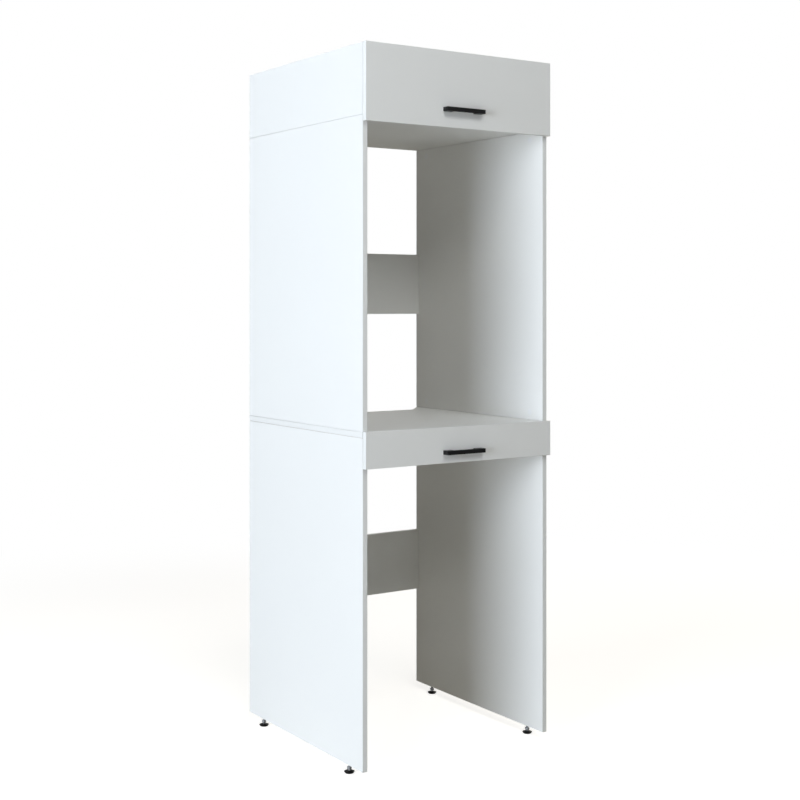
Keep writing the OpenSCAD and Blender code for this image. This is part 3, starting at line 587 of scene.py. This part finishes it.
feet = {
    "sides": 48, "studRadius": 0.004, "threadPitch": 0.00125, "threadDepth": 0.0006, "threadSteps": 8,
    "threadGap": 0.0008, "threadRunOut": 0.0006,  # plain stud above the hexagon and at the upper end
    "hexFlats": 0.013, "hexLow": 0.011, "hexHigh": 0.0175,
    # each end of the hexagon as (radius it is turned down to, height in from that end)
    "hexEnd": [(0.0062, 0), (0.0068, 0.0003), (0.008, 0.0008)],
    # ball and neck under the hexagon as (radius, height above the stud's lower end)
    "ball": [
        (0.0034, 0), (0.0042, 0.0004), (0.0045, 0.001), (0.0045, 0.0042), (0.0042, 0.0047),
        (0.0036, 0.0052),
    ],
    "neck": (0.0036, 0.0006),  # radius, and height above the hexagon
    "tip": [(0.0032, 0.0003), (0.0028, 0)],  # radius, and depth below the stud's upper end
    "padAngle": 35, "studAngle": 28,  # faces that meet at more than this keep a sharp edge
    # pad's section as (radius, height) in millimetres, from the middle of its underside outwards
    "padSection": [
        (0, 0.6), (9, 0.6), (9.4, 0), (11.5, 0), (11.9, 0.2), (12.3, 0.8), (13.6, 2.7), (14.7, 4.0),
        (15, 4.4), (14.9, 4.8), (14.3, 5.1), (11.8, 5.6), (9.4, 6.3), (8.0, 7.0), (7.3, 7.4), (6.7, 7.5),
        (5.0, 7.5), (4.7, 7.2), (4.56, 6.8), (4.56, 2.0), (0, 2.0),
    ],
}


def ringOfPoints(centre, z, radiusAt):
    # one turn round an upright axis, each point at the radius that its angle gives
    points = []
    for k in range(feet["sides"]):
        turn = 2 * math.pi * k / feet["sides"]
        radius = radiusAt(turn)
        points.append(Vector((centre.x + radius * math.cos(turn), centre.y + radius * math.sin(turn), z)))
    return points


def roundRing(centre, z, radius):
    return ringOfPoints(centre, z, lambda turn: radius)


def skinRings(bm, rings):
    # joins rings of points from bottom to top, and leaves both ends open
    made = [[bm.verts.new(p) for p in ring] for ring in rings]
    for lower, upper in zip(made, made[1:]):
        for k in range(len(lower)):
            nextK = (k + 1) % len(lower)
            bm.faces.new((lower[k], lower[nextK], upper[nextK], upper[k]))
    return made


def closedRings(bm, rings):
    made = skinRings(bm, rings)
    bm.faces.new(list(reversed(made[0])))
    bm.faces.new(made[-1])


def threadRadius(z, bottom, top):
    # radius of the thread at a height, as a function of the angle; it fades in and out in one turn
    pitch, depth = feet["threadPitch"], feet["threadDepth"]

    def at(turn):
        phase = (z / pitch - turn / (2 * math.pi)) % 1
        crest = abs(2 * phase - 1)
        fade = min(1, (z - bottom) / pitch, (top - z) / pitch)
        return feet["studRadius"] - depth * (1 - crest * max(fade, 0))
    return at


def hexRadius(limit):
    # radius of the hexagon, turned down to the limit at its corners
    def at(turn):
        flat = (turn % (math.pi / 3)) - math.pi / 6
        return min(feet["hexFlats"] / 2 / math.cos(flat), limit)
    return at


def makePad(node, centre):
    # a turned section that starts and ends on the axis
    section = [(radius / 1000, height / 1000) for radius, height in feet["padSection"]]
    bm = bmesh.new()
    made = skinRings(bm, [roundRing(centre, height, radius) for radius, height in section[1:-1]])
    for ring, (_, height) in ((made[0], section[0]), (made[-1], section[-1])):
        middle = bm.verts.new((centre.x, centre.y, height))
        for k in range(len(ring)):
            bm.faces.new((ring[k], ring[(k + 1) % len(ring)], middle))
    bmesh.ops.recalc_face_normals(bm, faces=bm.faces)
    piece = pieceFromMesh(node + "_moulded", bm, [finishes["mouldedBlack"]], feet["padAngle"])
    standFor(piece, node)


def makeStud(node, centre):
    # ball, neck, thread and hexagon
    low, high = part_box(node)
    hexLow, hexHigh = feet["hexLow"], feet["hexHigh"]
    neckRadius, neckHeight = feet["neck"]
    rings = [roundRing(centre, low.z + height, radius) for radius, height in feet["ball"]]
    rings.append(roundRing(centre, hexHigh + neckHeight, neckRadius))
    step = feet["threadPitch"] / feet["threadSteps"]
    bottom, top = hexHigh + feet["threadGap"], high.z - feet["threadRunOut"]
    z = bottom
    while z < top:
        rings.append(ringOfPoints(centre, z, threadRadius(z, bottom, top)))
        z += step
    rings += [roundRing(centre, high.z - depth, radius) for radius, depth in feet["tip"]]
    lowerEnd = [ringOfPoints(centre, hexLow + rise, hexRadius(limit)) for limit, rise in feet["hexEnd"]]
    upperEnd = [ringOfPoints(centre, hexHigh - rise, hexRadius(limit)) for limit, rise in feet["hexEnd"]]
    bm = bmesh.new()
    closedRings(bm, rings)
    closedRings(bm, lowerEnd + upperEnd[::-1])
    bmesh.ops.recalc_face_normals(bm, faces=bm.faces)
    # the stud's zinc carries painted shade, darker than the plate to stand in for its dark reflections
    piece = pieceFromMesh(node + "_threaded", bm, [finishes["shadedStudZinc"]], feet["studAngle"])
    standFor(piece, node)


for place in ("front_left", "front_right", "rear_left", "rear_right"):
    low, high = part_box("foot_pad_" + place)
    centre = Vector(((low.x + high.x) / 2, (low.y + high.y) / 2, 0))
    makePad("foot_pad_" + place, centre)
    makeStud("foot_stud_" + place, centre)
print("feet made")


repeats = {"smoothAngle": 30, "mostSpin": 3.14}


def newGroup(name, sizes):
    # a Geometry Nodes group that takes places and named sizes
    group = bpy.data.node_groups.new(name, "GeometryNodeTree")
    group.interface.new_socket("Places", in_out="INPUT", socket_type="NodeSocketGeometry")
    for size, value in sizes.items():
        socket = group.interface.new_socket(size, in_out="INPUT", socket_type="NodeSocketFloat")
        socket.default_value = value
    group.interface.new_socket("Pieces", in_out="OUTPUT", socket_type="NodeSocketGeometry")
    tree = Tree(group)
    tree.inputs = tree.node("NodeGroupInput", {}, {}, "Places")
    return group, tree


def placeOnPoints(tree, shape, seed, finish):
    # one copy of the shape at each place, turned to its aim, then real mesh with its finish
    aim = tree.node("GeometryNodeInputNamedAttribute", {"data_type": "FLOAT_VECTOR"}, {"Name": "aim"})
    facing = tree.node("FunctionNodeAlignRotationToVector", {"axis": "Z"}, {"Vector": aim})
    spin = tree.node("FunctionNodeRandomValue", {"data_type": "FLOAT"}, {
        2: 0.0, 3: repeats["mostSpin"], "Seed": seed}, 1)
    turned = tree.node("ShaderNodeCombineXYZ", {}, {"Z": spin})
    rotation = tree.node("FunctionNodeRotateRotation", {"rotation_space": "LOCAL"}, {
        "Rotation": facing, "Rotate By": turned})
    copies = tree.node("GeometryNodeInstanceOnPoints", {}, {
        "Points": tree.inputs, "Instance": shape, "Rotation": rotation})
    real = tree.node("GeometryNodeRealizeInstances", {}, {"Geometry": copies})
    coated = tree.node("GeometryNodeSetMaterial", {}, {"Geometry": real, "Material": finishes[finish]})
    tree.node("NodeGroupOutput", {}, {"Pieces": coated})


screws = {
    "wood": {"Face diameter": 0.0068, "Seat diameter": 0.004, "Head depth": 0.0014,
             "Shank diameter": 0.004, "Thread pitch": 0.0018, "Point length": 0.004},
    "small": {"Face diameter": 0.005, "Seat diameter": 0.0026, "Head depth": 0.0012,
              "Shank diameter": 0.0026, "Thread pitch": 0.0012, "Point length": 0.003},
    "handle": {"Face diameter": 0.007, "Seat diameter": 0.008, "Head depth": 0.002,
               "Shank diameter": 0.004, "Thread pitch": 0.0007, "Point length": 0.0006},
    "length": 0.014,  # where a batch gives none
    "smallLimit": 0.0058,  # heads narrower than this are small screws
    "seed": 11,
    # the crossed recess and the thread, as shares of the seat and of the shank
    "recess": [(0.62, 0.13), (0.13, 0.62)], "recessSize": 1.1, "recessDepth": 1.3,
    "core": 0.38, "rib": 0.11, "pointEnd": 0.0001,
    "nodes": ["carcass_screws", "drawer_box_screws", "drawer_runner_screws", "flap_screws"],
    "handleNodes": ["flap_handle_screws", "drawer_handle_screws"],
}


def screwGroup():
    # the face of the head lies at z = 0 and the point at z = Length
    group, tree = newGroup("screws", dict(screws["wood"], Length=screws["length"]))
    size = tree.inputs.other

    def up(z):
        return tree.node("ShaderNodeCombineXYZ", {}, {"Z": z})

    head = tree.node("GeometryNodeMeshCone", {}, {
        "Vertices": 32, "Radius Top": size("Seat diameter") / 2,
        "Radius Bottom": size("Face diameter") / 2, "Depth": size("Head depth")})
    bars = []
    for x, y in screws["recess"]:
        bars.append(tree.node("GeometryNodeMeshCube", {}, {"Size": tree.node(
            "ShaderNodeCombineXYZ", {}, {
                "X": size("Seat diameter") * x * screws["recessSize"],
                "Y": size("Seat diameter") * y * screws["recessSize"],
                "Z": size("Head depth") * screws["recessDepth"]})}))
    recess = tree.node("GeometryNodeMeshBoolean", {"operation": "UNION"}, {"Mesh 2": bars})
    cutHead = tree.node(
        "GeometryNodeMeshBoolean", {"operation": "DIFFERENCE"}, {"Mesh 1": head, "Mesh 2": recess})
    core = size("Shank diameter") * screws["core"]
    shankLength = size("Length") - size("Head depth") - size("Point length")
    shank = tree.node("GeometryNodeTransform", {}, {
        "Geometry": tree.node("GeometryNodeMeshCylinder", {}, {
            "Vertices": 20, "Radius": core, "Depth": shankLength}),
        "Translation": up(size("Head depth") + shankLength / 2)})
    point = tree.node("GeometryNodeTransform", {}, {
        "Geometry": tree.node("GeometryNodeMeshCone", {}, {
            "Vertices": 20, "Radius Top": screws["pointEnd"], "Radius Bottom": core,
            "Depth": size("Point length")}),
        "Translation": up(size("Length") - size("Point length"))})
    helix = tree.node("GeometryNodeCurveSpiral", {}, {
        "Resolution": 14, "Rotations": shankLength / size("Thread pitch"), "Start Radius": core,
        "End Radius": core, "Height": shankLength - size("Thread pitch")})
    rib = tree.node("GeometryNodeCurveToMesh", {}, {
        "Curve": helix, "Fill Caps": True,
        "Profile Curve": tree.node("GeometryNodeCurvePrimitiveCircle", {}, {
            "Resolution": 4, "Radius": size("Shank diameter") * screws["rib"]})})
    thread = tree.node("GeometryNodeTransform", {}, {
        "Geometry": rib, "Translation": up(size("Head depth") + size("Thread pitch"))})
    whole = tree.node("GeometryNodeJoinGeometry", {}, {"Geometry": [cutHead, shank, point, thread]})
    placeOnPoints(tree, whole, screws["seed"], "zincPlate")
    return group


bumpers = {
    "sizes": {"Diameter": 0.008, "Height": 0.0017}, "seed": 5,
    "rise": 0.5,  # below 1 the dome rises quickly at its rim
}


def bumperGroup():
    # a soft dome with a flat back at z = 0
    group, tree = newGroup("bumpers", bumpers["sizes"])
    size = tree.inputs.other
    ball = tree.node("GeometryNodeMeshUVSphere", {}, {"Segments": 32, "Rings": 20, "Radius": 1.0})
    place = tree.node("GeometryNodeInputPosition")
    x = tree.node("ShaderNodeSeparateXYZ", {}, {"Vector": place}, "X")
    y = x.other("Y")
    z = tree.maths("MAXIMUM", x.other("Z"), 0.0)
    lifted = tree.maths("POWER", z, bumpers["rise"]) * size("Height")
    wide = size("Diameter") / 2
    moved = tree.node("ShaderNodeCombineXYZ", {}, {"X": x * wide, "Y": y * wide, "Z": lifted})
    dome = tree.node("GeometryNodeSetPosition", {}, {"Geometry": ball, "Position": moved})
    placeOnPoints(tree, dome, bumpers["seed"], "bumper")
    return group


def runGroup(name, group, places, sizes):
    # the places as points with an aim, the group as a modifier, and the result as a plain mesh
    mesh = bpy.data.meshes.new(name + "_places")
    mesh.from_pydata([p for p, aim in places], [], [])
    aims = mesh.attributes.new("aim", "FLOAT_VECTOR", "POINT")
    for k, (p, aim) in enumerate(places):
        aims.data[k].vector = aim
    holder = addObject(name + "_holder", mesh)
    modifier = holder.modifiers.new("pieces", "NODES")
    modifier.node_group = group
    for item in group.interface.items_tree:
        if item.item_type == "SOCKET" and item.in_out == "INPUT" and item.name in sizes:
            modifier[item.identifier] = float(sizes[item.name])
    bpy.context.view_layer.update()
    depsgraph = bpy.context.evaluated_depsgraph_get()
    made = bpy.data.meshes.new_from_object(holder.evaluated_get(depsgraph), depsgraph=depsgraph)
    holder.modifiers.clear()
    bpy.data.objects.remove(holder)
    made.name = name
    smoothMesh(made, repeats["smoothAngle"])
    return addObject(name, made)


def axisPlaces(node):
    # for each solid of a node: its wide end's middle, the way to its narrow end, its length and width
    endShare = 0.25
    found = []
    for points in islandsOf(node):
        low, high = boxOf(points)
        middle = (low + high) / 2
        size = high - low
        axis = max(range(3), key=lambda k: size[k])
        spread = {}
        for end in (low, high):
            near = [p for p in points if abs(p[axis] - end[axis]) < size[axis] * endShare]
            spread[end[axis]] = max(
                math.dist([p[k] for k in range(3) if k != axis],
                          [middle[k] for k in range(3) if k != axis]) for p in near)
        wide = max(spread, key=spread.get)
        start = middle.copy()
        start[axis] = wide
        aim = Vector((0, 0, 0))
        aim[axis] = 1 if wide == low[axis] else -1
        found.append((start, aim, size[axis], max(size[k] for k in range(3) if k != axis)))
    return found


def makeScrews(node, group):
    # solids of one size and length go through the group together
    batches = {}
    for start, aim, length, headWidth in axisPlaces(node):
        if node in screws["handleNodes"]:
            kind = "handle"
        else:
            kind = "small" if headWidth < screws["smallLimit"] else "wood"
        batches.setdefault((kind, round(length, 4)), []).append((start, aim))
    made = []
    for (kind, length), places in batches.items():
        sizes = dict(screws[kind], Length=length)
        made.append(runGroup(f"{node}_{kind}_{round(length * 1000)}mm", group, places, sizes))
    joined = made[0]
    if len(made) > 1:
        bm = bmesh.new()
        for piece in made:
            bm.from_mesh(piece.data)
        bm.to_mesh(joined.data)
        bm.free()
        for piece in made[1:]:
            bpy.data.objects.remove(piece)
    joined.name = node + "_turned"
    standFor(joined, node)


screwTree = screwGroup()
for node in screws["nodes"] + screws["handleNodes"]:
    makeScrews(node, screwTree)

bumperPlaces = []
for points in islandsOf("front_bumpers"):
    low, high = boxOf(points)
    back = Vector(((low.x + high.x) / 2, high.y, (low.z + high.z) / 2))
    bumperPlaces.append((back, Vector((0, -1, 0))))
domes = runGroup("front_bumpers_domed", bumperGroup(), bumperPlaces, bumpers["sizes"])
standFor(domes, "front_bumpers")
print("screws and bumpers made")


studio = {
    "floorHalf": 14, "floorTint": rgb(0.72, 0.69, 0.63),
    "floorLift": 0.77,  # what the camera sees on top of the lit floor, so that it comes out pale
    "fadeFrom": 1.6, "fadeTo": 3.6,  # distances between which the floor turns white
    "fill": rgb(1.0, 0.9, 0.68), "fillStrength": 0.035, "white": rgb(1, 1, 1),
    "lampsAimAt": (0, 0, 1.0),
}


def makeFloor():
    half = studio["floorHalf"]
    corners = ((-half, -half), (half, -half), (half, half), (-half, half))
    bm = bmesh.new()
    bm.faces.new([bm.verts.new((x, y, 0)) for x, y in corners])
    material, tree = newMaterial("paleFloor")
    seen = tree.node("ShaderNodeLightPath", {}, {}, "Is Camera Ray")
    away = tree.node("ShaderNodeVectorMath", {"operation": "LENGTH"}, {0: tree.place}, "Value")
    far = tree.node("ShaderNodeMapRange", {"interpolation_type": "SMOOTHSTEP"}, {
        "Value": away, "From Min": studio["fadeFrom"], "From Max": studio["fadeTo"]})
    matt = tree.node("ShaderNodeBsdfDiffuse", {}, {"Color": studio["floorTint"]})
    lift = tree.node("ShaderNodeEmission", {}, {
        "Color": studio["white"], "Strength": seen * studio["floorLift"]})
    lit = tree.node("ShaderNodeAddShader", {}, {0: matt, 1: lift})
    white = tree.node("ShaderNodeEmission", {}, {"Color": studio["white"], "Strength": 1.0})
    surface = tree.node("ShaderNodeMixShader", {}, {"Fac": seen * far, 1: lit, 2: white})
    tree.node("ShaderNodeOutputMaterial", {}, {"Surface": surface})
    floor = pieceFromMesh("floor", bm, [material])


def makeWorld():
    world = bpy.data.worlds.new("studio")
    world.use_nodes = True
    world.node_tree.nodes.clear()
    bpy.context.scene.world = world
    tree = Tree(world.node_tree)
    seen = tree.node("ShaderNodeLightPath", {}, {}, "Is Camera Ray")
    seenOrMirrored = seen + seen.other("Is Glossy Ray") + seen.other("Is Transmission Ray")
    bright = tree.maths("MINIMUM", seenOrMirrored, 1.0)
    fill = tree.node("ShaderNodeBackground", {}, {
        "Color": studio["fill"], "Strength": studio["fillStrength"]})
    white = tree.node("ShaderNodeBackground", {}, {"Color": studio["white"], "Strength": 1.0})
    surface = tree.node("ShaderNodeMixShader", {}, {"Fac": bright, 1: fill, 2: white})
    tree.node("ShaderNodeOutputWorld", {}, {"Surface": surface})


softboxes = {
    # azimuth and elevation from the cabinet's middle, distance, width, height, watts, tint
    "key": (-164, 2, 7.5, 4.6, 3.8, 655, (0.825, 0.903, 1.0)),
    "front": (-102, 41, 6.5, 3.0, 2.0, 124, (0.98, 1.0, 1.0)),
    "rear": (30, 8, 5.0, 3.0, 3.0, 50, (1.0, 0.92, 0.76)),
    "top": (-120, 80, 3.6, 3.0, 3.0, 12, (1.0, 1.0, 1.0)),
}


def makeSoftbox(name, azimuth, elevation, distance, width, height, watts, tint):
    lamp = bpy.data.lights.new(name, "AREA")
    lamp.shape = "RECTANGLE"
    lamp.size, lamp.size_y = width, height
    lamp.energy = watts
    lamp.color = tint
    turn, rise = math.radians(azimuth), math.radians(elevation)
    away = Vector((math.cos(turn) * math.cos(rise), math.sin(turn) * math.cos(rise), math.sin(rise)))
    holder = addObject(name + "Softbox", lamp)
    holder.location = Vector(studio["lampsAimAt"]) + away * distance
    holder.rotation_euler = away.to_track_quat("Z", "Y").to_euler()


camera = {
    "place": (-2.2967, -3.4725, 1.3110), "yaw": 33.56, "lens": 61.26, "shift": -0.1222, "sensor": 36,
    "farthest": 100,
}


def makeCamera():
    lens = bpy.data.cameras.new("camera")
    lens.lens = camera["lens"]
    lens.sensor_width = camera["sensor"]
    lens.shift_y = camera["shift"]
    lens.clip_end = camera["farthest"]
    holder = addObject("camera", lens)
    holder.location = camera["place"]
    holder.rotation_euler = (math.radians(90), 0, -math.radians(camera["yaw"]))
    bpy.context.scene.camera = holder


makeFloor()
makeWorld()
for name, values in softboxes.items():
    makeSoftbox(name, *values)
makeCamera()
bpy.context.scene.view_settings.view_transform = "Standard"
print("studio made")
